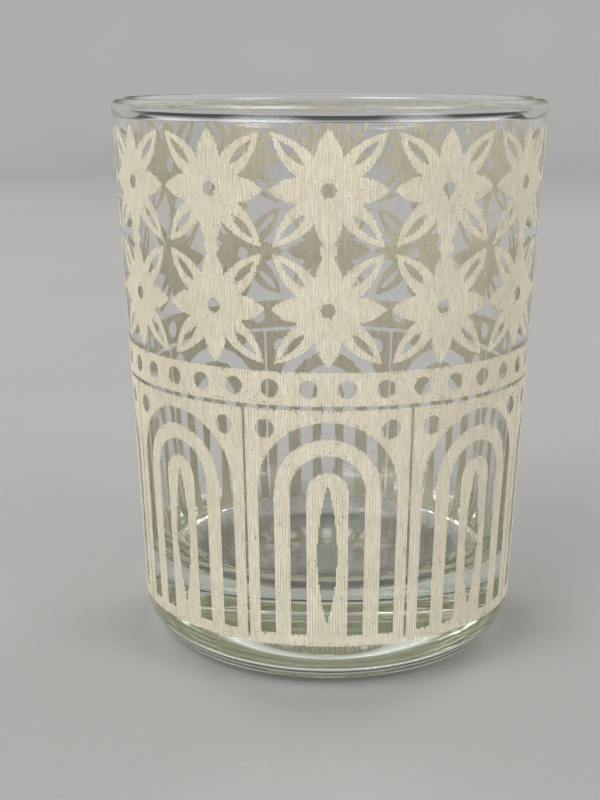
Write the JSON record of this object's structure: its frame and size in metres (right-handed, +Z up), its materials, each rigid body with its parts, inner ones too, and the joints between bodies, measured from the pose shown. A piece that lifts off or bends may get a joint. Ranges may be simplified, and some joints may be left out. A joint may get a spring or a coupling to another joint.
{
  "type": "rocks glass",
  "caption": "Tapered heavy-based drinking tumbler with a beaded rim and a frosted engraved pattern of nested arches, dots and rosettes round its wall.",
  "frame": {"origin": "centre of the foot, on the plane that the glass stands on", "axes": "+Z up along the axis of the glass, from the foot to the rim; -Y towards the camera of the picture; +X to its right"},
  "size_m": [0.086, 0.086, 0.1102],
  "materials": {
    "clear_glass": "clear, fire polished",
    "frosted_engraving": "matte, laser engraved in fine upright lines"
  },
  "bodies": {
    "root": {"glass_body": "clear_glass", "arch_panel_1": "frosted_engraving", "arch_panel_2": "frosted_engraving", "arch_panel_3": "frosted_engraving", "arch_panel_4": "frosted_engraving", "arch_panel_5": "frosted_engraving", "arch_panel_6": "frosted_engraving", "arch_panel_7": "frosted_engraving", "arch_panel_8": "frosted_engraving", "dotted_belt": "frosted_engraving", "rosette_column_1": "frosted_engraving", "rosette_column_2": "frosted_engraving", "rosette_column_3": "frosted_engraving", "rosette_column_4": "frosted_engraving", "rosette_column_5": "frosted_engraving", "rosette_column_6": "frosted_engraving", "rosette_column_7": "frosted_engraving", "rosette_column_8": "frosted_engraving", "rosette_column_9": "frosted_engraving", "rosette_column_10": "frosted_engraving", "rosette_column_11": "frosted_engraving", "rosette_column_12": "frosted_engraving"}
  },
  "joints": []
}
